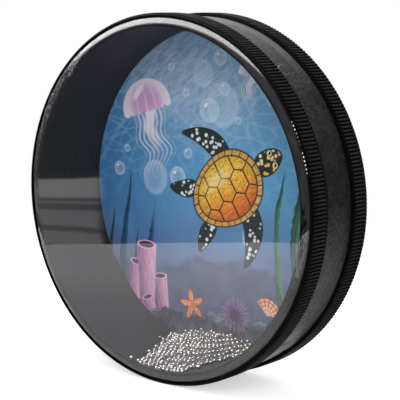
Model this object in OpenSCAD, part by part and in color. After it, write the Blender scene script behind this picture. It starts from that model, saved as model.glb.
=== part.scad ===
// A shallow drum with two heads that stands on its rim and holds loose steel beads.
// Its axis lies along Y: the clear head faces -Y and the printed head faces +Y.
// +Z is up, +X is to the right of someone who faces the clear head,
// and the origin is the middle of the drum.

/* [Hoop] */
// Diameter over the ribs of the edge trims
drum_d = 254; // [200:1:340]
// Length of the plywood hoop from bearing edge to bearing edge
hoop_l = 65; // [54:1:100]
// Wall of the plywood hoop
hoop_wall = 6.5; // [5:0.5:10]
// Outer round of each bearing edge
edge_round = 4; // [2:0.25:5]
// Inner round of each bearing edge
edge_ease = 0.5; // [0.3:0.1:1.5]

/* [Wrap] */
// Thickness of the vinyl sheet round the hoop
wrap_t = 0.4; // [0.2:0.05:0.8]
// Distance from each bearing edge to the end of the sheet
wrap_inset = 6; // [5.5:0.5:12]
// Length of the lap where the sheet's ends meet, along the hoop
lap_l = 14; // [6:1:30]
// Angle of the lap's middle from the lowest point towards +X
lap_at = 40; // [10:1:350]

/* [Heads] */
// Thickness of the polyester film
film_t = 0.35; // [0.2:0.05:0.6]
// Length of the film's skirt, past its rounded edge
skirt_l = 10; // [5:0.5:12]

/* [Edge trims] */
// Width of a trim along the drum's axis
trim_w = 17; // [15:0.5:20]
// Thickness of a trim under its ribs
trim_t = 1.45; // [1:0.05:2.5]
// Height of a rib
rib_h = 0.8; // [0.4:0.05:1.2]
// Distance from rib to rib round the drum
rib_pitch = 2.6; // [2.2:0.1:5]
// Length of the plain lip in front of the ribs
lip_l = 1.2; // [0.8:0.1:3]
// Round of the lip's outer corner
lip_round = 0.7; // [0.2:0.05:0.75]
// Drop from the foot of the ribs to the lip
lip_drop = 0.2; // [0.1:0.05:0.6]
// Distance that a trim stands back from the face of its head
trim_setback = 1.2; // [0.5:0.1:3]

/* [Beads] */
// Diameter of a bead
bead_d = 3; // [2.6:0.1:4]
// Least gap between beads
bead_gap = 0.06; // [0.04:0.02:0.4]
// Gap from the beads to the hoop and the heads
bead_clear = 0.25; // [0.2:0.05:0.6]
// Number of courses in the deepest part of the pile
courses = 6; // [4:1:6]
// Depth of the pile against the printed head
pile_depth = 17.5; // [12:0.5:18]
// Angles of the pile's left and right ends at the clear head, from the lowest point
pile_front_ends = [-9.5, 10.5]; // [-40:0.5:40]
// Angles of the pile's left and right ends at the printed head
pile_rear_ends = [-21, 24]; // [-40:0.5:40]
// Angle at which the row along the clear head ends on the left
front_row_end = -11.5; // [-40:0.5:0]
// Fullness of the pile's flanks (2 = a parabola)
pile_fullness = 2.6; // [1.6:0.2:4]
// How late the pile's right side widens towards the printed head (1 = evenly)
right_bend = 3; // [1:0.5:4]
// Share of the surface beads that have rolled off the pile
rolled_off_share = 0.14; // [0:0.01:0.4]

/* [Stray beads] */
// Shares of the chamber's length at which the three strays lie, from the clear head
stray_lane_shares = [0, 0.72, 0.2]; // [0:0.01:1]
// Gap between a stray bead and the end of the pile
stray_gap = 0.5; // [0.2:0.1:4]

/* [Hidden] */
$fn = 240;
arc_steps = 8;
cut = 1;
// Clearance past the end of a sheet or a skirt
end_gap = 0.3;

// Radii, from the ribs inwards
crest_r = drum_d / 2;
root_r = crest_r - rib_h;
head_r = root_r - trim_t;
hoop_r = head_r - film_t;
hoop_in_r = hoop_r - hoop_wall;

// Lengths along the axis
drum_l = hoop_l + 2 * film_t;
edge_r = edge_round + film_t;
skirt_end = edge_r + skirt_l;
wrap_half = hoop_l / 2 - wrap_inset;
trim_inner_half = drum_l / 2 - trim_setback - trim_w;
lap_half = trim_inner_half - end_gap;
lap_angle = lap_l / hoop_r * 180 / PI;

// One rib: share of a pitch round the drum, and share of the rib's height
rib_shares = [[-0.36, 0], [-0.19, 1], [0.19, 1], [0.36, 0]];
rib_count = 4 * round(PI * drum_d / rib_pitch / 4);

// Beads lie in courses, each in the hollows of the one below
reach = bead_d + bead_gap;
floor_r = hoop_in_r - bead_clear - bead_d / 2;
function course_step(row) = sqrt(pow(reach, 2) - pow(row * 2 / 3, 2));
row_l = reach * sqrt(3) / 2;
course_h = course_step(row_l);
top_r = floor_r - (courses - 1) * course_h;
column_angle = reach / top_r * 180 / PI;
lane_end = hoop_l / 2 - bead_clear - bead_d / 2;
row_count = floor(2 * lane_end / row_l) + 1;
column_reach = ceil(max(-pile_rear_ends[0], pile_rear_ends[1], -front_row_end, pile_front_ends[1])
    / column_angle) + 1;
column_count = 2 * column_reach + 1;
chance = rands(0, 1, courses * row_count * column_count, 7);

function mix(a, b, share) = a + (b - a) * share;
function along(y) = (y + lane_end) / (2 * lane_end);
function left_end(y) =
    y < row_l / 4 - lane_end ? front_row_end : mix(pile_front_ends[0], pile_rear_ends[0], along(y));
function right_end(y) = mix(pile_front_ends[1], pile_rear_ends[1], pow(along(y), right_bend));

// The pile is one bead deep at the clear head and a rounded heap at the printed head
function crown(angle, y) =
    let(middle = (left_end(y) + right_end(y)) / 2, half = (right_end(y) - left_end(y)) / 2)
    1 - pow(abs(angle - middle) / half, pile_fullness);
function pile_at(angle, y) = mix(reach, pile_depth * crown(angle, y), along(y));
function course_top(course) = bead_clear + bead_d + course * course_h;
function in_ends(angle, y) = angle >= left_end(y) && angle <= right_end(y);
function in_pile(course, angle, y) =
    in_ends(angle, y) && y <= lane_end && (course == 0 || course_top(course) <= pile_at(angle, y));
function on_surface(course, angle, y) =
    course > 0 && course_top(course + 1) > pile_at(angle, y);

function site_angle(course, row, column) =
    (column + (row % 2) / 2 + (course % 3) / 2) * column_angle;
function site_y(course, row) = -lane_end + (row + (course % 3) / 3) * row_l;
function site_chance(course, row, column) =
    chance[(course * row_count + row) * column_count + column + column_reach];

function arc(centre, r, from, to) = [
    for (i = [0:arc_steps])
        let(a = mix(from, to, i / arc_steps)) [centre[0] + r * cos(a), centre[1] + r * sin(a)]
];

// Turns a shape drawn round Z so that it lies round the drum's axis
module on_axis() {
    rotate([-90, 0, 0]) children();
}

// Places a shape whose outer face is at z = 0 on the clear head's end
module at_front() {
    translate([0, -drum_l / 2, 0]) on_axis() children();
}

module at_rear() {
    mirror([0, 1, 0]) at_front() children();
}

function hoop_profile() = let(h = hoop_l / 2) concat(
    arc([hoop_in_r + edge_ease, edge_ease - h], edge_ease, 180, 270),
    arc([hoop_r - edge_round, edge_round - h], edge_round, 270, 360),
    [[hoop_r, -wrap_half - end_gap], [hoop_r - wrap_t, -wrap_half - end_gap]],
    [[hoop_r - wrap_t, wrap_half + end_gap], [hoop_r, wrap_half + end_gap]],
    arc([hoop_r - edge_round, h - edge_round], edge_round, 0, 90),
    arc([hoop_in_r + edge_ease, h - edge_ease], edge_ease, 90, 180)
);

// Bent plywood, with rounded bearing edges and a shallow seat for the wrap
module hoop() {
    color([0.12, 0.12, 0.13]) on_axis() rotate_extrude() polygon(hoop_profile());
}

// Vinyl sheet round the hoop, whose end laps over its start between the trims
module wrap() {
    color([0.1, 0.1, 0.11]) on_axis() {
        rotate_extrude()
            translate([hoop_r - wrap_t, -wrap_half]) square([wrap_t, 2 * wrap_half]);
        rotate([0, 0, 90 - lap_at - lap_angle / 2])
            rotate_extrude(angle = lap_angle)
                translate([hoop_r, -lap_half]) square([wrap_t, 2 * lap_half]);
    }
}

function head_profile() = let(c = [head_r - edge_r, edge_r]) concat(
    [[0, 0]],
    arc(c, edge_r, 270, 360),
    [[head_r, skirt_end], [hoop_r, skirt_end]],
    arc(c, edge_round, 360, 270),
    [[0, film_t]]
);

// Film drawn over the bearing edge, with a skirt glued to the hoop
module head_film() {
    rotate_extrude() polygon(head_profile());
}

module clear_head() {
    color([0.8, 0.85, 0.88, 0.3]) at_front() head_film();
}

module printed_head() {
    color([0.33, 0.53, 0.68]) at_rear() head_film();
}

function rib_outline() = [
    for (i = [0:rib_count - 1], s = rib_shares)
        let(a = (i + s[0]) * 360 / rib_count, r = root_r + rib_h * s[1]) [r * cos(a), r * sin(a)]
];
function lip_profile() = let(r = root_r - lip_drop) concat(
    [[0, 0]],
    arc([r - lip_round, lip_round], lip_round, 270, 360),
    [[r, lip_l + end_gap], [0, lip_l + end_gap]]
);
// The bore steps in behind the skirt, so that the trim also bears on the wrap
function trim_bore_profile() = let(step = skirt_end - trim_setback + end_gap) [
    [0, -cut], [head_r, -cut], [head_r, step], [hoop_r, step], [hoop_r, trim_w + cut], [0, trim_w + cut]
];

// Ribbed moulding over the skirt's edge, with a plain rounded lip in front
module edge_trim() {
    translate([0, 0, trim_setback]) difference() {
        union() {
            translate([0, 0, lip_l]) linear_extrude(trim_w - lip_l) polygon(rib_outline());
            rotate_extrude() polygon(lip_profile());
        }
        rotate_extrude() polygon(trim_bore_profile());
    }
}

module front_trim() {
    color([0.06, 0.06, 0.065]) at_front() edge_trim();
}

module rear_trim() {
    color([0.06, 0.06, 0.065]) at_rear() edge_trim();
}

module bead(course, angle, y) {
    r = floor_r - course * course_h;
    translate([r * sin(angle), y, -r * cos(angle)]) sphere(d = bead_d, $fn = 16);
}

// The beads of one course in the rows from first to last
module course_beads(course, first, last) {
    for (row = [first:last], column = [-column_reach:column_reach]) {
        angle = site_angle(course, row, column);
        y = site_y(course, row);
        kept = !on_surface(course, angle, y) || site_chance(course, row, column) >= rolled_off_share;
        if (in_pile(course, angle, y) && kept) bead(course, angle, y);
    }
}

module floor_beads_front() {
    color([0.78, 0.78, 0.8]) course_beads(0, 0, floor(row_count / 2) - 1);
}

module floor_beads_rear() {
    color([0.78, 0.78, 0.8]) course_beads(0, floor(row_count / 2), row_count - 1);
}

module second_course_beads() {
    color([0.78, 0.78, 0.8]) course_beads(1, 0, row_count - 1);
}

module third_course_beads() {
    color([0.78, 0.78, 0.8]) course_beads(2, 0, row_count - 1);
}

module upper_beads() {
    color([0.78, 0.78, 0.8]) for (course = [3:courses - 1]) course_beads(course, 0, row_count - 1);
}

// A bead on the hoop, just past the left (-1) or right (1) end of the pile
module stray_bead(lane_share, side) {
    y = mix(-lane_end, lane_end, lane_share);
    past = (reach + stray_gap) / floor_r * 180 / PI;
    color([0.78, 0.78, 0.8]) bead(0, side < 0 ? left_end(y) - past : right_end(y) + past, y);
}

module stray_bead_1() {
    stray_bead(stray_lane_shares[0], -1);
}

module stray_bead_2() {
    stray_bead(stray_lane_shares[1], -1);
}

module stray_bead_3() {
    stray_bead(stray_lane_shares[2], 1);
}

hoop();
wrap();
clear_head();
printed_head();
front_trim();
rear_trim();
floor_beads_front();
floor_beads_rear();
second_course_beads();
third_course_beads();
upper_beads();
stray_bead_1();
stray_bead_2();
stray_bead_3();
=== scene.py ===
"""Looks of a standing ocean drum: clear front head, printed rear head, ribbed trims, steel beads."""
import math

import bmesh
import bpy
import numpy as np
from mathutils import Matrix, Vector, noise


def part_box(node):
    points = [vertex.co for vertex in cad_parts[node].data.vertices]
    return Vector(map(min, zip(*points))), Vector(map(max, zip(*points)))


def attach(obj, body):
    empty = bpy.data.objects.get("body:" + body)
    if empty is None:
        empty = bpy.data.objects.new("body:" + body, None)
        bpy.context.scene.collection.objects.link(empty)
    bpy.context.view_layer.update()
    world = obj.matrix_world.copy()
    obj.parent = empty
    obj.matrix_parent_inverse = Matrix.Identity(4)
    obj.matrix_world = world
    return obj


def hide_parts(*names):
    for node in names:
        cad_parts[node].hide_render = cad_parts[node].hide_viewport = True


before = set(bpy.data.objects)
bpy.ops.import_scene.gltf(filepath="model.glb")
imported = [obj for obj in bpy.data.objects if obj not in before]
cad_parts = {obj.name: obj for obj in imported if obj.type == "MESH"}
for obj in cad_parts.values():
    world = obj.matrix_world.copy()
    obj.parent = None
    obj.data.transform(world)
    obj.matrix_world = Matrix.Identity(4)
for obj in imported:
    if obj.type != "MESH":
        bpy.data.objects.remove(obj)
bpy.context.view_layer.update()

MM = 0.001
AXIS = (0, 1, 0)
HAIR = 0.01 * MM
WELD = 0.002 * MM

# Sizes of the drum, taken from the frame where it gives them
crest_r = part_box("front_trim")[1].x
trim_front_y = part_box("front_trim")[0].y
trim_back_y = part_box("front_trim")[1].y
head_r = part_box("clear_head")[1].x
head_face_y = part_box("clear_head")[0].y
skirt_end_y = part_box("clear_head")[1].y
hoop_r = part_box("hoop")[1].x
hoop_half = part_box("hoop")[1].y
wrap_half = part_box("wrap")[1].y
floor_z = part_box("front_trim")[0].z
film_t = head_r - hoop_r
film_clear = 0.05 * MM
hoop_wall = 6.5 * MM
hoop_in_r = hoop_r - hoop_wall
groove_clear = 0.3 * MM
edge_round = 3 * MM
edge_span = 6.5 * MM
edge_ease = 0.5 * MM
wrap_t = 0.4 * MM
lap_w = 14 * MM
lap_at = math.radians(40)
rib_h = 0.8 * MM
rib_count = 308
bead_r = 1.5 * MM

# Where the camera stands, what it is aimed at, and the pale paper under the drum
camera_spot = (0.56945, -0.67255, 0.12588)
camera_aim = (0.00625, 0.00493, -0.00217)
paper_r = 0.571
paper_middle = (0.034, -0.036, floor_z - 0.05 * MM)
paper_white = (0.86, 0.86, 0.87)

BEAD_NODES = [
    "floor_beads_front", "floor_beads_rear", "second_course_beads", "third_course_beads", "upper_beads",
    "stray_bead_1", "stray_bead_2", "stray_bead_3",
]
BEAD_BODIES = ["bead_pile"] * 5 + ["stray_1", "stray_2", "stray_3"]


def arc(centre, r, start, end, steps, span=None):
    """Points of an arc in the (radius, y) plane, from angle start to angle end in degrees. A span makes it
    part of an ellipse that reaches so far along the radius."""
    turns = [math.radians(start + (end - start) * i / steps) for i in range(steps + 1)]
    return [(centre[0] + (span or r) * math.cos(a), centre[1] + r * math.sin(a)) for a in turns]


def turned(outline, steps, factors=(2, 3, 4, 6)):
    """A bmesh of a closed (radius, y) outline turned round the drum's axis, as repeats of a sector."""
    bm = bmesh.new()
    verts = [bm.verts.new((r, y, 0)) for r, y in outline]
    edges = [bm.edges.new(pair) for pair in zip(verts, verts[1:] + verts[:1])]
    sector = 2 * math.pi / math.prod(factors)
    bmesh.ops.spin(bm, geom=verts + edges, angle=-sector, steps=steps // math.prod(factors), axis=AXIS,
                   cent=(0, 0, 0))
    repeated_round(bm, sector, factors)
    return bm


def repeated_round(bm, sector, factors):
    """Repeats a sector round the axis, once for each share of a full turn that the factors give."""
    for factor in factors:
        first = bm.verts[:] + bm.edges[:] + bm.faces[:]
        for turn in range(1, factor):
            made = bmesh.ops.duplicate(bm, geom=first)["geom"]
            verts = [part for part in made if isinstance(part, bmesh.types.BMVert)]
            bmesh.ops.rotate(bm, verts=verts, cent=(0, 0, 0), matrix=Matrix.Rotation(sector * turn, 3, "Y"))
        sector *= factor
    bmesh.ops.remove_doubles(bm, verts=bm.verts, dist=WELD)
    bmesh.ops.recalc_face_normals(bm, faces=bm.faces)


def finished(name, bm, material, sharp=35):
    """Turns a bmesh into a smooth-shaded object whose edges above an angle stay sharp."""
    mesh = bpy.data.meshes.new(name)
    bm.to_mesh(mesh)
    bm.free()
    mesh.shade_smooth()
    if sharp:
        mesh.set_sharp_from_angle(angle=math.radians(sharp))
    mesh.materials.append(material)
    piece = bpy.data.objects.new(name, mesh)
    bpy.context.scene.collection.objects.link(piece)
    return piece


def stands_for(piece, node, body):
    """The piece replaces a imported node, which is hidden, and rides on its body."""
    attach(piece, body)
    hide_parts(node)


def feed(tree, value, slot):
    """Gives a socket what it reads: a field, another socket, a number or a plain colour."""
    if isinstance(value, Field):
        value = value.socket
    if isinstance(value, bpy.types.NodeSocket):
        tree.links.new(value, slot)
    else:
        slot.default_value = (*value, 1) if isinstance(value, tuple) else value


class Field:
    """A number that varies over a surface: a node socket with arithmetic."""

    def __init__(self, tree, socket):
        self.tree = tree
        self.socket = socket

    def math(self, operation, *others):
        node = self.tree.nodes.new("ShaderNodeMath")
        node.operation = operation
        for slot, value in zip(node.inputs, (self, *others)):
            feed(self.tree, value, slot)
        return Field(self.tree, node.outputs[0])

    def __add__(self, other):
        return self.math("ADD", other)

    def __sub__(self, other):
        return self.math("SUBTRACT", other)

    def __mul__(self, other):
        return self.math("MULTIPLY", other)

    def __truediv__(self, other):
        return self.math("DIVIDE", other)

    def __pow__(self, other):
        return self.math("POWER", other)

    def __abs__(self):
        return self.math("ABSOLUTE")

    def __neg__(self):
        return self.math("MULTIPLY", -1)

    def sin(self):
        return self.math("SINE")

    def ramp(self, start, end, low=0.0, high=1.0):
        """Smooth step from low at start to high at end."""
        node = self.tree.nodes.new("ShaderNodeMapRange")
        node.interpolation_type = "SMOOTHSTEP"
        values = (start, end, low, high)
        for key, value in zip(("From Min", "From Max", "To Min", "To Max"), values):
            node.inputs[key].default_value = value
        feed(self.tree, self, node.inputs["Value"])
        return Field(self.tree, node.outputs[0])

    def within(self, limit, soft):
        """1 where the field is under the limit, 0 above it, with a soft edge."""
        return self.ramp(limit + soft, limit - soft)


def polar(u, v):
    """How far a point lies from the middle of the (u, v) plane, and its turn from the v axis in radians."""
    return (u * u + v * v).math("SQRT"), u.math("ARCTAN2", v)


def local(u, v, centre, angle=0.0):
    """Coordinates along and across something in the (u, v) plane that is turned by an angle in degrees."""
    c, s = math.cos(math.radians(angle)), math.sin(math.radians(angle))
    u, v = u - centre[0], v - centre[1]
    return u * c + v * s, v * c - u * s


class Finish:
    """A material built from nodes: places in millimetres, noises, and one Principled shader."""

    def __init__(self, name, **settings):
        self.material = bpy.data.materials.new(name)
        self.material.use_nodes = True
        self.tree = self.material.node_tree
        self.shader = self.tree.nodes["Principled BSDF"]
        self.spot = self.node("ShaderNodeTexCoord").outputs["Object"]
        self.set(**settings)

    def set(self, **inputs):
        """Gives the shader's own sockets a number, a colour, a field or another socket."""
        for key, value in inputs.items():
            feed(self.tree, value, self.shader.inputs[key.replace("_", " ").title().replace("Ior", "IOR")])

    def node(self, kind, **inputs):
        node = self.tree.nodes.new(kind)
        for key, value in inputs.items():
            feed(self.tree, value, node.inputs[key.title()])
        return node

    def place(self):
        """The x, y and z of a point on the drum, in millimetres."""
        split = self.node("ShaderNodeSeparateXYZ", vector=self.spot)
        return [Field(self.tree, out) * (1 / MM) for out in split.outputs]

    def vector(self, x, y, z=0.0):
        """A place for a noise or cells to read, made of fields and numbers."""
        return self.node("ShaderNodeCombineXYZ", x=x, y=y, z=z).outputs[0]

    def noise(self, scale, detail=3.0, vector=None, roughness=0.5):
        """Noise whose scale is in features per metre on the drum, or per unit of the vector."""
        node = self.node("ShaderNodeTexNoise", vector=vector or self.spot, scale=scale,
                         detail=detail, roughness=roughness)
        return Field(self.tree, node.outputs[0])

    def cells(self, scale, vector=None, feature="F1"):
        """Distance to the nearest of many scattered points, or to the borders between them."""
        node = self.node("ShaderNodeTexVoronoi", vector=vector or self.spot, scale=scale)
        node.feature = feature
        return Field(self.tree, node.outputs["Distance"])

    def mix(self, base, top, share):
        """Lays one colour over another by a share. Colours are sockets or plain tuples."""
        node = self.tree.nodes.new("ShaderNodeMix")
        node.data_type = "RGBA"
        colours = [slot for slot in node.inputs if slot.type == "RGBA"]
        for value, slot in zip((share, base, top), (node.inputs["Factor"], *colours)):
            feed(self.tree, value, slot)
        return next(slot for slot in node.outputs if slot.type == "RGBA")

    def bump(self, height, depth_mm, strength=1.0):
        """Relief whose height of 1 stands for a depth in millimetres."""
        node = self.node("ShaderNodeBump", height=height, strength=strength, distance=depth_mm * MM)
        self.set(normal=node.outputs[0])


def stained_plywood():
    """Charcoal lacquer over bent ply, with a faint grain that runs round the hoop, and painted shade at the
    inner bearing edges.
    """
    finish = Finish("stained_plywood", specular_ior_level=0.12)
    x, y, z = finish.place()
    radius, turn = polar(x, z)
    grain = finish.noise(1.0, 4.0, finish.vector(turn * 9, y * 1.6))
    colour = finish.mix((0.015, 0.0152, 0.0172), (0.029, 0.0295, 0.0325), grain.ramp(0.3, 0.7))
    # Painted shade: the innermost part of each bearing edge, under the film's shoulder, is made near black
    painted_edge_shade = radius.within(119.2, 0.4) * abs(y).ramp(31.6, 32.0)
    colour = finish.mix(colour, (0.002, 0.002, 0.002), painted_edge_shade)
    finish.set(base_color=colour, roughness=grain.ramp(0.2, 0.8, 0.4, 0.55))
    finish.bump(grain, 0.05)
    return finish.material


def vinyl():
    """Black vinyl sheet with a soft gloss and a fine leathery pebble. A painted sheen lightens the top and
    a little low down next to the rear trim, and a small curled crease at the upper right gets a painted
    highlight on its ridge and painted shade in its hollow."""
    finish = Finish("black_vinyl")
    x, y, z = finish.place()
    pebble = finish.noise(480.0, 4.0)
    grain = finish.noise(230.0, 3.0)
    cloud = finish.noise(60.0, 5.0, roughness=0.6)
    dust = cloud.ramp(0.4, 0.7) * 0.5 + grain.ramp(0.35, 0.65) * 0.5
    colour = finish.mix((0.008, 0.008, 0.0082), (0.022, 0.0215, 0.021), dust)
    # Painted sheen: the top and a band low down next to the rear trim are lightened
    painted_sheen_top = y.ramp(2, 10) * z.ramp(70, 120)
    painted_sheen_low = y.ramp(8, 13) * z.ramp(-10, -60) * z.ramp(-104, -90)
    colour = finish.mix(colour, (0.11, 0.11, 0.11), painted_sheen_top + painted_sheen_low * 0.3)
    crease_x, crease_y, crease_z, crease_r = 85.6, -6, 90.2, 4.2
    reach = ((x - crease_x) ** 2 + (y - crease_y) ** 2 + (z - crease_z) ** 2).math("SQRT")
    crease = abs(reach - crease_r).within(0.5, 0.6) * (y - crease_y).within(1.5, 2)
    # Painted highlight on the crease's ridge, then painted shade in its hollow
    colour = finish.mix(colour, (0.1, 0.1, 0.1), crease * 0.6)
    colour = finish.mix(colour, (0.003, 0.003, 0.003), reach.within(2.2, 0.8))
    finish.set(base_color=colour, roughness=cloud.ramp(0.3, 0.7, 0.34, 0.5),
               specular_ior_level=pebble.ramp(0.3, 0.7, 0.25, 0.75))
    finish.bump(pebble * 1.4 + grain * 1.2 + cloud * 1.2 + crease * 4.0, 0.35)
    return finish.material


def trim_rubber():
    """Black moulded ribs: dusty satin crowns that also carry a painted highlight, dark grooves, inner sides
    painted black as shade, and painted glints along a part of the lip. Towards the right the painted
    highlight on the crowns starts further from the lip; the crowns are painted darker towards the bottom and
    the top."""
    finish = Finish("trim_rubber", specular_ior_level=0.04)
    x, y, z = finish.place()
    radius, turn = polar(x, z)
    from_lip = -abs(y) - trim_front_y / MM
    crown = radius.ramp((crest_r - rib_h * 0.55) / MM, (crest_r - rib_h * 0.1) / MM)
    # Painted highlight on the crowns: it starts further from the lip towards the right, as a reflection on a
    # domed moulding does
    crown_highlight = (from_lip - turn.ramp(0.75, 1.15) * 3.5).ramp(0.5, 3)
    dust = finish.noise(160.0, 4.0).ramp(0.4, 0.7)
    # Crown colour: lighter by dust and by the painted highlight
    wear_and_sheen = finish.mix((0.008, 0.008, 0.0082), (0.024, 0.0236, 0.0232), dust * 0.4 + crown_highlight * 0.6)
    # lit is painted light and shade: crowns black on the inner side next to the wrap, darker towards the
    # bottom and at the top
    lit = abs(y).ramp(16.0, 17.4) * z.ramp(-110, 10, 0.35, 1.0) * z.ramp(40, 115, 1.0, 0.55)
    colour = finish.mix((0.002, 0.002, 0.002), wear_and_sheen, crown * lit)
    # Painted glints: near-white dots on the rib tips along the lip, over a range of angles at the right
    tips = (turn * rib_count).math("COSINE").within(-0.3, 0.5)
    glint_angles = turn.ramp(1.05, 1.1) * turn.within(1.33, 0.03) * finish.noise(150.0).ramp(0.36, 0.56)
    lip = radius.ramp(125.1, 125.3) * radius.within(125.75, 0.15) * y.within(-30.9, 0.2)
    finish.set(base_color=finish.mix(colour, (0.85, 0.85, 0.83), tips * glint_angles * lip),
               roughness=finish.noise(300.0).ramp(0.3, 0.7, 0.44, 0.56))
    finish.bump(finish.noise(1500.0), 0.03)
    return finish.material


def clear_film():
    """Polyester film: mirrors a little, more at a slant, and lets the rest through. Its shoulder is rubbed
    and scuffed at the upper left, and dark flakes cling to it at the right. The base colour is what the
    mirror gives back, and alpha is its share."""
    finish = Finish("clear_film", metallic=1.0)
    facing = Field(finish.tree, finish.node("ShaderNodeLayerWeight", blend=0.5).outputs["Facing"])
    mirror = facing ** 5.0 * 0.94 + 0.055
    x, _, z = finish.place()
    radius, turn = polar(x, z)
    shoulder = radius.ramp(115.5, 118.5)
    rubbed = shoulder * x.within(0, 50) * z.ramp(-20, 50)
    patches = finish.noise(30.0, 3.0).ramp(0.35, 0.65)
    specks = finish.noise(1200.0, 2.0).ramp(0.62, 0.74)
    wear_and_sheen = rubbed * (patches * 0.4 + specks * 0.6)
    slanting = finish.vector(turn * 30 + radius * 0.4, radius * 1.3)
    scratches = finish.noise(1.0, 3.0, slanting, 0.6).ramp(0.5, 0.7)
    finish.bump(scratches * rubbed * x.within(-78, 8), 0.4)
    round_the_rim = finish.vector(turn * 9 + radius * 0.2, radius * 2.4)
    streaks = finish.noise(1.0, 3.0, round_the_rim, 0.6).ramp(0.57, 0.65)
    scuffs = streaks * shoulder * x.within(-66, 10) * z.ramp(10, 50)
    crumbs = finish.noise(1.0, 4.0, finish.vector(turn * 24, radius * 0.9), 0.7).ramp(0.46, 0.54)
    flakes = crumbs * abs(radius - 120.6).within(1.8, 0.9) * turn.ramp(1.45, 1.56) * turn.within(1.85, 0.15)
    film = mirror + wear_and_sheen * 0.08 + scuffs * 0.2
    finish.set(alpha=film.math("MAXIMUM", flakes * 0.85).math("MINIMUM", 1.0),
               base_color=finish.mix((0.99, 0.98, 0.985), (0.004, 0.004, 0.004), flakes),
               roughness=(wear_and_sheen + scuffs) * 0.4 + 0.02)
    return finish.material


def bead_steel():
    """Polished steel shot, each bead a touch different."""
    finish = Finish("bead_steel", metallic=1.0)
    tone = finish.noise(260.0, 1.0)
    colour = finish.mix((0.53, 0.495, 0.475), (0.78, 0.745, 0.72), tone.ramp(0.35, 0.65))
    finish.set(base_color=colour, roughness=tone.ramp(0.3, 0.7, 0.18, 0.08))
    return finish.material


def motif(paint_it):
    """Keeps what a method paints in a node group of its own, which takes the paint so far and adds to it."""
    def grouped(art, *details):
        group = bpy.data.node_groups.new(paint_it.__name__, "ShaderNodeTree")
        group.interface.new_socket("Spot", socket_type="NodeSocketVector", in_out="INPUT")
        group.interface.new_socket("Paint", socket_type="NodeSocketColor", in_out="INPUT")
        group.interface.new_socket("Paint", socket_type="NodeSocketColor", in_out="OUTPUT")
        taken = group.nodes.new("NodeGroupInput")
        given = group.nodes.new("NodeGroupOutput")
        outside = art.tree, art.spot
        below = art.paint
        art.tree, art.spot, art.paint = group, taken.outputs["Spot"], taken.outputs["Paint"]
        art.x, _, art.z = art.place()
        paint_it(art, *details)
        group.links.new(art.paint, given.inputs["Paint"])
        art.tree, art.spot = outside
        node = art.tree.nodes.new("ShaderNodeGroup")
        node.node_tree = group
        art.tree.links.new(art.spot, node.inputs["Spot"])
        if below:
            art.tree.links.new(below, node.inputs["Paint"])
        art.paint = node.outputs["Paint"]
    return grouped


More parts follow.
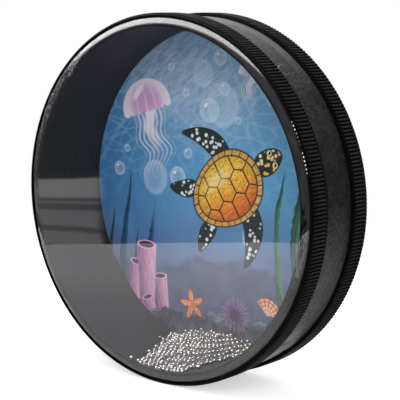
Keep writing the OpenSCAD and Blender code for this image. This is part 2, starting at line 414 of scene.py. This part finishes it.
class Print(Finish):
    """The undersea print, painted from the back of the picture to the front."""
    SKIN = (0.02, 0.03, 0.035)

    def __init__(self, name, **settings):
        super().__init__(name, **settings)
        self.paint = None

    def at(self, centre, angle=0.0):
        """Coordinates along and across a motif of the print."""
        return local(self.x, self.z, centre, angle)

    def lay(self, colour, share):
        """Lays a colour over the paint so far."""
        self.paint = self.mix(self.paint, colour, share)

    def blob(self, u, v, long, wide, bend=0.0, taper=0.0):
        """0 at the middle and 1 at the edge of an ellipse that may bend and taper."""
        across = v + u * u * (bend / long)
        girth = u * (-taper / long) + 1
        return ((u / long) ** 2 + (across / (girth * wide)) ** 2).math("SQRT")

    @motif
    def water(self):
        """Blue water, deep at the left, pale where light falls in and violet near the bed."""
        drift = self.noise(14.0, 5.0)
        depth = self.z + drift * 60 - 30
        blue = self.mix((0.045, 0.19, 0.42), (0.1, 0.33, 0.58), self.x.ramp(-118, 10))
        cloud = self.noise(26.0, 6.0, roughness=0.62)
        blue = self.mix(blue, (0.17, 0.47, 0.68), cloud.ramp(0.5, 0.78) * 0.5)
        violet = self.mix((0.09, 0.155, 0.33), (0.155, 0.15, 0.31), self.noise(20.0, 4.0).ramp(0.42, 0.7))
        self.paint = self.mix(violet, blue, depth.ramp(-62, 2))
        net = self.cells(0.06, self.vector(self.x + drift * 50, self.z * 1.7), "DISTANCE_TO_EDGE")
        self.lay((0.5, 0.74, 0.88), net.within(0.05, 0.05) * depth.ramp(-30, 70) * 0.2)
        glow = self.blob(*self.at((-30, 84), -16), 84, 50).ramp(1.3, 0.1)
        along, across = self.at((0, 0), 34)
        strokes = self.noise(1.0, 6.0, self.vector(along * 0.05, across * 0.3), 0.68)
        self.lay((0.58, 0.6, 0.68), glow * strokes.ramp(0.36, 0.62, 0.3, 1.0) * 0.58)

    @motif
    def sun_rays(self):
        """Pale beams that fan out from above the print."""
        _, fan = polar(*self.at((-18, 150)))
        beams = self.noise(1.0, 1.0, self.vector(fan * 26, 0.0)).ramp(0.45, 0.75)
        self.lay((0.5, 0.68, 0.84), beams * self.z.ramp(-40, 110) * 0.3)

    @motif
    def far_reef(self):
        """A dim ridge with knobs, far off in the haze."""
        outline = self.noise(17.0, 6.0) * 76 - 96
        tone = self.mix((0.03, 0.05, 0.11), (0.09, 0.1, 0.18), self.noise(60.0, 4.0).ramp(0.35, 0.7))
        self.lay(tone, (self.z - outline).within(0, 3) * 0.7)

    @motif
    def rocks(self):
        """Dark rocks along the bed, paler at their upper border."""
        outline = self.noise(28.0, 4.0) * 42 - 114
        tone = self.noise(80.0, 6.0, roughness=0.65)
        colour = self.mix((0.015, 0.022, 0.035), (0.1, 0.1, 0.14), tone.ramp(0.35, 0.7))
        below = self.z - outline
        self.lay(colour, below.within(0, 1.0))
        self.lay((0.25, 0.3, 0.42), abs(below + 1.6).within(0.9, 0.8) * tone.ramp(0.4, 0.6) * 0.5)

    @motif
    def kelp(self, left, right, top, pitch, phase, dark, light):
        """A row of swaying ribbons with ruffled edges, which narrow towards their tips."""
        sway = (self.z * 0.05 + self.x * 0.02 + phase).sin() * 4.5 + self.noise(16.0, 2.0) * 9
        across = ((self.x + sway) / pitch).math("FRACT") * pitch - pitch / 2
        lane = ((self.x + sway) / pitch).math("FLOOR") + phase
        room = (lane * 2.4).sin() * 24 + top - self.z
        ruffle = (self.z * 0.75 + lane * 2).sin() * 0.1 + 1
        half = (room.ramp(0, 70) ** 0.6) * ruffle * (pitch * 0.24)
        share = (abs(across) / half.math("MAXIMUM", 0.01)).within(1, 0.1) * room.ramp(0, 3)
        share = share * self.x.ramp(left - 3, left) * self.x.within(right, 3)
        turned_side = (across / half.math("MAXIMUM", 0.5)).ramp(-1, 1)
        grain = self.noise(1.0, 4.0, self.vector(across * 0.6, self.z * 0.07))
        self.lay(self.mix(dark, light, turned_side * 0.6 + grain.ramp(0.35, 0.7) * 0.4), share)
        self.lay(dark, abs(across).within(0.3, 0.25) * share * 0.8)

    @motif
    def glare(self, centre, r):
        """A pale soft-edged round, as of light caught by a drop."""
        disc = self.blob(*self.at(centre), r * 0.9, r)
        self.lay((0.6, 0.74, 0.88), disc.within(1, 0.07) * disc.ramp(0.3, 1.0, 0.2, 0.36))

    @motif
    def bubble(self, centre, r):
        """A disc that is brightest at its rim, with a small glint."""
        ring = self.blob(*self.at(centre), r, r)
        self.lay((0.62, 0.74, 0.86), ring.within(1, 0.04) * ring.ramp(0.2, 1.0, 0.16, 0.5))
        glint = self.blob(*self.at((centre[0] - r * 0.35, centre[1] + r * 0.4), 40), r * 0.22, r * 0.13)
        self.lay((0.9, 0.94, 0.97), glint.within(1, 0.2) * 0.8)

    @motif
    def jellyfish(self, centre, size, angle, bell_colour, rim_colour):
        """A domed bell with ribs, over trailing strands and a frill."""
        u, v = self.at(centre, angle)
        u, v = u / size, v / size
        drift = (v * 5.5).sin() * (v * -0.12)
        strand = ((u + drift) * 5.5).math("FRACT") - 0.5
        trail = abs(strand).within(0.16, 0.08) * v.within(0.05, 0.04) * v.ramp(-2.6, -0.9)
        self.lay(rim_colour, trail * abs(u + drift).within(0.62, 0.05) * 0.6)
        frill = abs(u + (v * 7).sin() * 0.09).within(0.2, 0.09) * v.within(0.05, 0.04)
        self.lay(rim_colour, frill * v.ramp(-1.7, -0.5) * 0.75)
        scallop = abs((u * 13).sin()) * 0.07
        bell = self.blob(u, v, 1.0, 0.86).within(1, 0.03) * (v + scallop).ramp(-0.13, -0.08)
        shade = self.mix(bell_colour, rim_colour, self.blob(u, v - 0.1, 1.0, 0.86).ramp(0.35, 1.0))
        self.lay(shade, bell * 0.88)
        ribs = abs((u / (v * v * -0.9 + 1.05).math("MAXIMUM", 0.1) * 9).sin()).within(0.25, 0.2)
        self.lay(rim_colour, bell * ribs * 0.4)
        shine = self.blob(*self.at((centre[0] - size * 0.35, centre[1] + size * 0.45), angle + 35),
                          size * 0.3, size * 0.1)
        self.lay((0.93, 0.93, 0.97), shine.within(1, 0.4) * 0.7)

    def flipper(self, u, v, root, angle, long, wide, bend):
        """A dark flipper with pale spots, from its root on the shell."""
        along, across = local(u, v, root, angle)
        shape = self.blob(along - long * 0.8, across, long, wide, bend, 0.35)
        self.lay(self.SKIN, shape.within(1, 0.05))
        spots = self.cells(0.26, self.vector(u, v)).within(0.36, 0.06)
        self.lay((0.75, 0.77, 0.78), shape.within(0.86, 0.06) * spots)

    @motif
    def turtle(self, centre, angle):
        """Seen from above, swimming: spotted dark flippers and a freckled amber shell of plates."""
        u, v = self.at(centre, angle)
        self.flipper(u, v, (16, 17), 118, 27, 8.5, -0.35)
        self.flipper(u, v, (16, -17), -118, 27, 8.5, 0.35)
        self.flipper(u, v, (-25, 14), 152, 14, 6.5, 0.1)
        self.flipper(u, v, (-25, -14), -152, 14, 6.5, -0.1)
        head = self.blob(u - 43, v, 13.5, 9, 0, 0.15)
        self.lay(self.SKIN, head.within(1, 0.05))
        plates = self.cells(0.3, self.vector(u, v)).within(0.42, 0.06)
        plate_colour = self.mix((0.8, 0.5, 0.08), (0.88, 0.8, 0.5), v.ramp(-6, 8))
        self.lay(plate_colour, head.within(0.88, 0.06) * plates)
        for side in (1, -1):
            eye = self.blob(u - 47, v - 4.8 * side, 2.1, 2.1)
            self.lay((0.9, 0.75, 0.3), eye.within(1, 0.15))
            self.lay((0.01, 0.01, 0.01), eye.within(0.62, 0.12))
            self.lay((0.95, 0.95, 0.95), self.blob(u - 46.4, v - 4.8 * side - 0.5, 0.5, 0.5).within(1, 0.3))
        shell = self.blob(u, v, 34, 26.5, 0, -0.12)
        inner = shell.within(0.82, 0.015)
        self.lay((0.03, 0.02, 0.015), shell.within(1, 0.02))
        streak = self.noise(1.0, 5.0, self.vector(u * 0.12, v * 0.55), 0.65)
        rim = abs(shell - 0.91).within(0.055, 0.012)
        notch = abs((polar(u, v)[1] * 13).sin()).ramp(0.12, 0.24)
        self.lay(self.mix((0.75, 0.36, 0.05), (0.92, 0.74, 0.25), streak.ramp(0.35, 0.65)), rim * notch)
        amber = self.mix((0.72, 0.13, 0.02), (0.88, 0.52, 0.04), v.ramp(-20, 12))
        amber = self.mix(amber, (0.95, 0.78, 0.2), streak.ramp(0.45, 0.72) * v.ramp(-16, 16, 0.3, 1.0))
        self.lay(amber, inner)
        self.lay((0.3, 0.05, 0.01), inner * streak.ramp(0.42, 0.3) * 0.5)
        freckles = self.cells(0.5, self.vector(u, v)).within(0.27, 0.08)
        self.lay((0.1, 0.03, 0.01), inner * freckles * v.ramp(-22, 6, 0.25, 0.8))
        self.lay((0.05, 0.02, 0.01), inner * self.seams(u, v))
        self.lay((0.1, 0.02, 0.01), shell.ramp(0.5, 1.0, 0.0, 0.4) * shell.within(1, 0.02))
        self.lay((1.0, 0.93, 0.7), self.blob(u + 4, v - 10, 20, 8).ramp(1.0, 0.1) * 0.3)

    def seams(self, u, v):
        """Seams between the shell's plates: a middle row of hexagons with a row on either side."""
        row = (u / 13.5 + 0.5).math("FRACT") - 0.5
        zigzag = abs(row) * -8 + 9.5
        long_seam = abs(abs(v) - zigzag).within(0.6, 0.3)
        cross = abs(abs(row) - 0.5).within(0.045, 0.022) * abs(v).within(5.6, 0.4)
        side_seam = abs(row).within(0.045, 0.022) * abs(v).ramp(9.2, 9.8)
        return long_seam.math("MAXIMUM", cross).math("MAXIMUM", side_seam)

    @motif
    def sponge(self, base, long, width, angle, dark, light):
        """A ribbed tube with an open end."""
        u, v = self.at(base, angle)
        side = u / (v * 0.055 + width)
        ridge = self.noise(1.0, 5.0, self.vector(u * 0.55, v * 0.09), 0.6)
        wall = abs(side + (ridge - 0.5) * 0.12).within(1, 0.05) * v.ramp(-2, 1)
        tube = wall * v.within(long, 0.4)
        mouth_r = long * 0.055 + width
        mouth = self.blob(u, v - long, mouth_r, mouth_r * 0.34)
        round_side = side.ramp(-1.1, 0.7) * 0.65 + ridge.ramp(0.35, 0.68) * 0.35
        self.lay(self.mix(dark, light, round_side), tube.math("MAXIMUM", mouth.within(1, 0.06)))
        self.lay(light, mouth.within(1, 0.06) * mouth.ramp(0.7, 0.85))
        self.lay((0.03, 0.01, 0.03), mouth.within(0.72, 0.1))

    @motif
    def urchin(self, centre, r, dark, light):
        """A ball of spines."""
        u, v = self.at(centre)
        distance, turn = polar(u, v)
        reach = distance / r
        for count, start, tone in ((17, 0.5, 0.0), (23, 0.9, 0.5), (13, 0.2, 1.0)):
            spine = abs(((turn + start) * (count / 2)).sin()) * reach
            share = spine.within(0.16, 0.06) * reach.within(1.0 - tone * 0.12, 0.06)
            self.lay(self.mix(dark, light, reach.ramp(0.3, 1.0, tone * 0.3, 1.0)), share)
        self.lay(dark, reach.within(0.36, 0.08))
        self.lay(light, self.cells(0.9, self.vector(u, v)).within(0.2, 0.1) * reach.within(0.34, 0.05) * 0.5)

    @motif
    def scallop(self, centre, r, angle):
        """A fan shell with ribs and growth bands."""
        distance, turn = polar(*self.at(centre, angle))
        reach = distance / r
        lobes = (turn * 16).math("COSINE")
        edge = reach - lobes * 0.025
        self.lay((0.2, 0.05, 0.03), edge.within(1.06, 0.03) * abs(turn).within(1.22, 0.04))
        shape = edge.within(1, 0.03) * abs(turn).within(1.15, 0.04)
        bands = (reach * 26 + self.noise(90.0) * 4).sin().ramp(-0.6, 0.9)
        shell = self.mix((0.72, 0.2, 0.1), (0.95, 0.7, 0.5), bands * 0.6 + reach.ramp(1.0, 0.2) * 0.4)
        self.lay(shell, shape)
        self.lay((0.35, 0.07, 0.04), shape * lobes.within(-0.55, 0.3) * 0.7)

    @motif
    def starfish(self, centre, r, angle):
        """Five blunt arms with pale dots."""
        u, v = self.at(centre, angle)
        distance, turn = polar(u, v)
        arms = (turn * 5).math("COSINE")
        edge = distance / (arms * 0.3 + 0.62 + (arms ** 3.0) * 0.08) / r
        self.lay((0.2, 0.03, 0.015), edge.within(1.06, 0.05))
        tone = self.noise(140.0, 4.0).ramp(0.35, 0.65) * 0.5 + (u - v).ramp(-r, r, 0.5, 0.0)
        self.lay(self.mix((0.5, 0.08, 0.03), (0.86, 0.3, 0.1), tone), edge.within(0.95, 0.06))
        dots = self.cells(0.55, self.vector(u, v)).within(0.3, 0.1)
        self.lay((0.95, 0.62, 0.35), edge.within(0.8, 0.05) * dots)


# Middles in millimetres on the print and radii, and for the sponges base, length, width and lean
BUBBLES = [
    ((-38, 8), 7.5), ((-28, 26), 4.0), ((-44, 88), 3.2), ((-8, 58), 9.0), ((6, 74), 5.0),
    ((18, 52), 3.0), ((-24, 44), 2.4), ((2, 96), 6.0), ((34, 92), 3.6), ((-96, 10), 5.5),
    ((-88, 26), 3.0), ((-30, 70), 3.5), ((46, 66), 2.6),
]

GLARES = [((-60, 6), 13), ((4, 62), 16), ((-14, 84), 10), ((56, 88), 12), ((30, -30), 9)]

SPONGES = [
    ((-84, -104), 44, 5.0, -7), ((-50, -108), 40, 4.6, 8),
    ((-68, -112), 66, 6.2, 1), ((-57, -114), 30, 4.2, 22),
]


def undersea_print():
    """The printed polyester film of the rear head."""
    art = Print("undersea_print", roughness=0.25, specular_ior_level=0.35)
    art.water()
    art.sun_rays()
    for centre, r in GLARES:
        art.glare(centre, r)
    art.kelp(-118, -62, -8, 13, 0.0, (0.012, 0.045, 0.11), (0.03, 0.11, 0.22))
    art.far_reef()
    art.jellyfish((30, 84), 12, -14, (0.5, 0.55, 0.78), (0.8, 0.84, 0.93))
    for centre, r in BUBBLES:
        art.bubble(centre, r)
    art.kelp(52, 118, 34, 17, 2.0, (0.008, 0.05, 0.055), (0.09, 0.28, 0.16))
    for base, long, width, angle in SPONGES:
        art.sponge(base, long, width, angle, (0.2, 0.04, 0.2), (0.78, 0.42, 0.62))
    art.rocks()
    art.urchin((16, -88), 13, (0.05, 0.012, 0.07), (0.36, 0.14, 0.42))
    art.scallop((44, -84), 12, -24)
    art.starfish((-24, -86), 12, 12)
    art.jellyfish((-68, 58), 24, 16, (0.62, 0.32, 0.6), (0.9, 0.8, 0.88))
    art.turtle((8, 2), 32)
    grain = art.noise(700.0, 2.0)
    art.set(base_color=art.mix(art.paint, (0.9, 0.92, 0.95), grain.ramp(0.5, 0.8, 0.0, 0.03)))
    art.bump(art.noise(12.0, 1.0), 0.2, 0.15)
    return art.material


def hoop_outline():
    """The hoop's section: rounded bearing edges, eased inner edges and a shallow groove for the wrap."""
    h = hoop_half
    groove = wrap_half + groove_clear
    return (
        arc((hoop_in_r + edge_ease, edge_ease - h), edge_ease, 180, 270, 4)
        + arc((hoop_r - edge_span, edge_round - h), edge_round, 270, 360, 12, edge_span)
        + [(hoop_r, -groove), (hoop_r - wrap_t, -groove), (hoop_r - wrap_t, groove), (hoop_r, groove)]
        + arc((hoop_r - edge_span, h - edge_round), edge_round, 0, 90, 12, edge_span)
        + arc((hoop_in_r + edge_ease, h - edge_ease), edge_ease, 90, 180, 4)
    )


def head_outline(side):
    """Film over a bearing edge, just clear of the hoop, for side -1 in front or 1 behind."""
    end_y = -skirt_end_y
    face_y = -head_face_y
    under_y = face_y - film_t + film_clear
    corner_r = head_r - edge_span - film_t
    halfway_r = 0.5 * corner_r
    corner = (corner_r, face_y - edge_round - film_t)
    outer = arc(corner, edge_round + film_t, 90, 0, 16, edge_span + film_t)
    inner = arc(corner, edge_round + film_clear, 0, 90, 16, edge_span + film_clear)
    points = [
        (0, face_y), (halfway_r, face_y), *outer, (head_r, end_y),
        (hoop_r + film_clear, end_y), *inner, (halfway_r, under_y), (0, under_y),
    ]
    return [(r, side * y) for r, y in points]


def rib_height(share):
    """Height of a rib as a share of rib_h at a share of the pitch from the groove's middle."""
    from_crown = abs(share - 0.5) * 2
    foot_share, flank_share = 0.72, 0.36
    return max(0.0, min(1.0, (foot_share - from_crown) / flank_share)) ** 0.6


def quarter_round(share):
    """Rises from 0 to 1 as a quarter of a circle does, while the share goes from 0 to 1."""
    return math.sqrt(max(0.0, 1 - (1 - min(1, share)) ** 2))


def raise_by(vert, r, height):
    """Moves a vertex that lies at a radius outwards from the drum's axis."""
    vert.co.x *= (r + height) / r
    vert.co.z *= (r + height) / r


def trim_piece(name, side, material):
    """Ribbed moulding: a plain rounded lip, then an outer skin raised into ribs with rounded ends."""
    front = -trim_front_y
    width = trim_back_y - trim_front_y
    root_r = crest_r - rib_h
    lip_r = root_r - 0.2 * MM
    lip_round = 0.7 * MM
    lip_inset = 0.25 * MM
    rib_start = 1.2 * MM
    rib_rise = 1.0 * MM
    rib_fall = 0.5 * MM
    end_height_share = 0.35
    bore_clear = 0.3 * MM
    ramp_shares = (0.0, 0.12, 0.3, 0.6, 1.0)
    start_ys = [rib_start + rib_rise * share for share in ramp_shares]
    end_ys = [width - rib_fall * share for share in reversed(ramp_shares)]
    rows = start_ys + [width * 0.35, width * 0.65] + end_ys
    bore_step = -skirt_end_y - bore_clear
    outline = (
        [(head_r, front), (head_r + lip_inset, front)]
        + arc((lip_r - lip_round, front - lip_round), lip_round, 90, 0, 4)
        + [(lip_r, front - rib_start)]
        + [(root_r, front - y) for y in rows]
        + [(hoop_r, front - width), (hoop_r, bore_step), (head_r, bore_step)]
    )
    steps_per_rib = 6
    bm = turned([(r, side * y) for r, y in outline], rib_count * steps_per_rib, (4, 7, 11))
    pitch = 2 * math.pi / rib_count
    for vert in bm.verts:
        r = math.hypot(vert.co.x, vert.co.z)
        from_front = front - abs(vert.co.y)
        share = (math.atan2(vert.co.z, vert.co.x) / pitch) % 1.0
        if r < root_r - HAIR or from_front < rib_start - HAIR:
            continue
        rise = quarter_round((from_front - rib_start) / rib_rise)
        fall = quarter_round((width - from_front) / rib_fall)
        end_height = end_height_share + (1 - end_height_share) * fall
        raise_by(vert, r, rib_h * rib_height(share) * rise * end_height)
    bmesh.ops.recalc_face_normals(bm, faces=bm.faces)
    return finished(name, bm, material, sharp=60)


def wrap_piece(material):
    """Vinyl sheet with slack wrinkles between the trims, and a lap that steps down at its cut end."""
    rows = 30
    shown_half = 14 * MM
    fade = 1.5 * MM
    wrinkle_h = 0.09 * MM
    slack_h = 0.12 * MM
    lap_half = 14.35 * MM
    cut_end_share = 0.25
    under_clear = 0.02 * MM
    outer = [(hoop_r, -wrap_half + 2 * wrap_half * i / rows) for i in range(rows + 1)]
    inner_r = hoop_r - wrap_t + under_clear
    bm = turned(outer + [(inner_r, wrap_half), (inner_r, -wrap_half)], 720)
    lap_angle = lap_w / hoop_r
    for vert in bm.verts:
        r = math.hypot(vert.co.x, vert.co.z)
        if r < hoop_r - wrap_t / 4:
            continue
        y = vert.co.y
        angle = math.atan2(vert.co.x, -vert.co.z)
        along = (angle - lap_at + lap_angle / 2) / lap_angle
        lapped = along < 1 and abs(y) < lap_half
        lap = wrap_t * max(0.0, min(1.0, along / cut_end_share)) if lapped else 0.0
        wrinkle = noise.fractal(Vector((angle * 30, y / MM * 0.16, 0)), 1.0, 2.0, 4) * wrinkle_h
        slack = noise.noise(Vector((angle * 7, y / MM * 0.05, 5))) * slack_h
        shown = max(0.0, 1 - max(0.0, abs(y) - shown_half) / fade)
        raise_by(vert, r, lap + (wrinkle + slack) * shown)
    return finished("wrap_sheet", bm, material, sharp=50)


def bead_centres(node):
    """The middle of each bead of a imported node, from where its faces' normals meet. The slivers by a bead's
    poles are left out, and so is a bead's second run of faces."""
    sliver_share = 0.3
    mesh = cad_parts[node].data
    corners = np.empty(len(mesh.loops), np.int32)
    mesh.loops.foreach_get("vertex_index", corners)
    spots = np.empty(len(mesh.vertices) * 3)
    mesh.vertices.foreach_get("co", spots)
    tri = spots.reshape(-1, 3)[corners].reshape(-1, 3, 3)
    normal = np.cross(tri[:, 1] - tri[:, 0], tri[:, 2] - tri[:, 0])
    length = np.linalg.norm(normal, axis=1)
    kept = length > np.median(length) * sliver_share
    middle = tri.mean(1)[kept] - normal[kept] / length[kept, None] * bead_r
    leaps = np.flatnonzero(np.linalg.norm(np.diff(middle, axis=0), axis=1) > 0.5 * bead_r) + 1
    runs = np.array([run.mean(0) for run in np.split(middle, leaps)])
    apart = np.linalg.norm(runs[:, None] - runs[None], axis=2) > bead_r
    return [runs[i] for i in range(len(runs)) if apart[i, :i].all()]


def poured(centres, rests):
    """Shakes the beads that rest and eases them apart again, so that the heap has no rows. Others stay."""
    shake_mm = 0.9
    rounds = 60
    ease_share = 0.45
    least_apart = 2.01 * bead_r
    shifts = np.random.default_rng(5).uniform(-shake_mm, shake_mm, centres.shape) * MM
    shaken = centres + shifts * rests[:, None]
    itself = np.eye(len(shaken))
    for _ in range(rounds):
        gap = shaken[:, None] - shaken[None]
        apart = np.linalg.norm(gap, axis=2) + itself
        push = np.clip(least_apart - apart, 0, None) / apart * (1 - itself)
        shaken += ease_share * (gap * push[:, :, None]).sum(1) * rests[:, None]
        shaken[:, 1] = np.clip(shaken[:, 1], bead_r - hoop_half, hoop_half - bead_r)
        reach = np.hypot(shaken[:, 0], shaken[:, 2])
        shaken[:, ::2] *= np.minimum(1, (hoop_in_r - bead_r) / reach)[:, None]
    return shaken


def bead_pieces(material):
    """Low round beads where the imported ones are, shaken a little so that the heap looks poured."""
    ball = bpy.data.meshes.new("ball")
    bm = bmesh.new()
    bmesh.ops.create_icosphere(bm, subdivisions=2, radius=bead_r)
    bm.to_mesh(ball)
    bm.free()
    packed = [bead_centres(node) for node in BEAD_NODES]
    in_heap = [body == "bead_pile" for body in BEAD_BODIES]
    rests = np.repeat(in_heap, [len(centres) for centres in packed])
    spots = iter(poured(np.concatenate(packed), rests))
    for node, body, centres in zip(BEAD_NODES, BEAD_BODIES, packed):
        bm = bmesh.new()
        for _ in centres:
            spot = Matrix.Translation(next(spots))
            ball.transform(spot)
            bm.from_mesh(ball)
            ball.transform(spot.inverted())
        piece = finished(node + "_shot", bm, material, sharp=0)
        stands_for(piece, node, body)


def aimed(obj, spot, aim):
    """Stands a lamp or the camera at a spot and points it at another."""
    obj.location = spot
    obj.rotation_euler = (Vector(aim) - Vector(spot)).to_track_quat("-Z", "Y").to_euler()
    bpy.context.scene.collection.objects.link(obj)
    return obj


def softbox(name, spot, size, power):
    """A lamp aimed at the drum that no gloss mirrors, because the world holds what gloss meets."""
    lamp = bpy.data.lights.new(name, "AREA")
    lamp.shape = "RECTANGLE"
    lamp.size, lamp.size_y = size
    lamp.energy = power
    holder = aimed(bpy.data.objects.new(name, lamp), spot, (0, 0, 0))
    holder.visible_camera = False
    holder.visible_glossy = False


def studio_world():
    """White for the camera, even for matt surfaces. Gloss meets a dim room, a broad silk overhead at the
    left, a white sweep behind and pale stripes low in front, where the flat film mirrors the edge of the
    set. Their borders are given as x, y and z of the direction in which they lie."""
    dim_room = 0.04
    matt_level = 0.72
    world = bpy.data.worlds.new("studio")
    bpy.context.scene.world = world
    world.use_nodes = True
    tree = world.node_tree
    path = tree.nodes.new("ShaderNodeLightPath")
    split = tree.nodes.new("ShaderNodeSeparateXYZ")
    feed(tree, tree.nodes.new("ShaderNodeTexCoord").outputs["Generated"], split.inputs[0])
    x, y, z = [Field(tree, out) for out in split.outputs]
    above = (z - x * 0.63).ramp(0.57, 0.75) * (z + x * 0.5).ramp(-0.29, -0.2)
    silk = above * y.within(0.46, 0.14) * x.within(0.28, 0.1) * 4.6
    toward_sweep = x * -0.58 + y * 0.81
    sweep = toward_sweep.ramp(0.61, 0.94) * z.ramp(-0.2, -0.1) * z.within(0.66, 0.12) * x.ramp(-0.96, -0.84)
    upper_stripe = z.ramp(-0.144, -0.140) * z.within(-0.126, 0.001)
    lower_stripe = z.ramp(-0.182, -0.1815) * z.within(-0.144, 0.002)
    upper_line = z.ramp(-0.153, -0.151) * z.within(-0.1465, 0.001)
    lower_line = z.ramp(-0.171, -0.169) * z.within(-0.1655, 0.001)
    edge = (y * 0.97 - x).ramp(-0.005, 0.01) * y.within(-0.2, 0.1)
    stripes = (upper_stripe + lower_stripe * 0.64) * ((upper_line + lower_line) * -0.6 + 1) * edge
    room = silk + sweep * 1.6 + stripes + dim_room
    seen = Field(tree, path.outputs["Is Camera Ray"])
    glossy = Field(tree, path.outputs["Is Glossy Ray"])
    level = seen + (-seen + 1) * (glossy * room + (-glossy + 1) * matt_level)
    feed(tree, level, tree.nodes["Background"].inputs["Strength"])
    feed(tree, (1, 1, 1), tree.nodes["Background"].inputs["Color"])


def pale_floor():
    """A round of pale paper that the camera sees as white, with a trace of the drum's shadow. Its mirror
    image in gloss is painted darker towards the drum in front and away from it behind, and behind the drum,
    up to a sharp edge at x = 84 mm, it glows for gloss only, a painted glow."""
    bm = bmesh.new()
    bmesh.ops.create_circle(bm, cap_ends=True, segments=128, radius=paper_r)
    bmesh.ops.translate(bm, verts=bm.verts, vec=paper_middle)
    paper = Finish("pale_paper", roughness=0.9, emission_color=(1, 1, 1))
    x, y, _ = paper.place()
    away, _ = polar(x, y)
    # Painted shade in the mirror image: darker near the drum in front and towards the right front, and darker
    # away from the drum behind
    ahead = away.ramp(150, 560, 0.6, 1.12) * (x - y * 0.85).ramp(150, 260, 1.0, 0.48)
    behind = away.ramp(120, 560, 0.72, 0.3)
    mirrored = ahead + (behind - ahead) * y.ramp(0, 60)
    path = paper.node("ShaderNodeLightPath")
    seen = Field(paper.tree, path.outputs["Is Camera Ray"])
    glossy = Field(paper.tree, path.outputs["Is Glossy Ray"])
    paper.set(base_color=paper.mix(paper_white, paper.mix((0, 0, 0), paper_white, mirrored), glossy),
              # Painted glow: for gloss only, the paper behind the drum and left of x = 84 mm gives off light
              emission_strength=seen * 0.55 + glossy * y.ramp(0, 12) * x.within(84, 2) * 0.95)
    finished("floor", bm, paper.material, sharp=0)


def camera():
    """The angle, distance and framing from which the photograph was taken."""
    lens = bpy.data.cameras.new("camera")
    lens.lens = 115.1
    lens.sensor_width = 36.0
    bpy.context.scene.camera = aimed(bpy.data.objects.new("camera", lens), camera_spot, camera_aim)


hoop_ring = finished("hoop_ring", turned(hoop_outline(), 288), stained_plywood())
wrap_sheet = wrap_piece(vinyl())
clear_head = finished("clear_film_head", turned(head_outline(-1), 288), clear_film())
printed_head = finished("printed_film_head", turned(head_outline(1), 288), undersea_print())
rubber = trim_rubber()

stands_for(hoop_ring, "hoop", "drum")
stands_for(wrap_sheet, "wrap", "drum")
stands_for(clear_head, "clear_head", "drum")
stands_for(printed_head, "printed_head", "drum")
stands_for(trim_piece("front_ribbed_trim", -1, rubber), "front_trim", "drum")
stands_for(trim_piece("rear_ribbed_trim", 1, rubber), "rear_trim", "drum")
bead_pieces(bead_steel())

camera()
studio_world()
pale_floor()
softbox("top_light", (-0.1, -0.35, 1.1), (0.9, 0.5), 9)
softbox("front_light", (0.9, -1.3, 0.8), (0.7, 0.7), 12)

scene = bpy.context.scene
scene.view_settings.view_transform = "Standard"
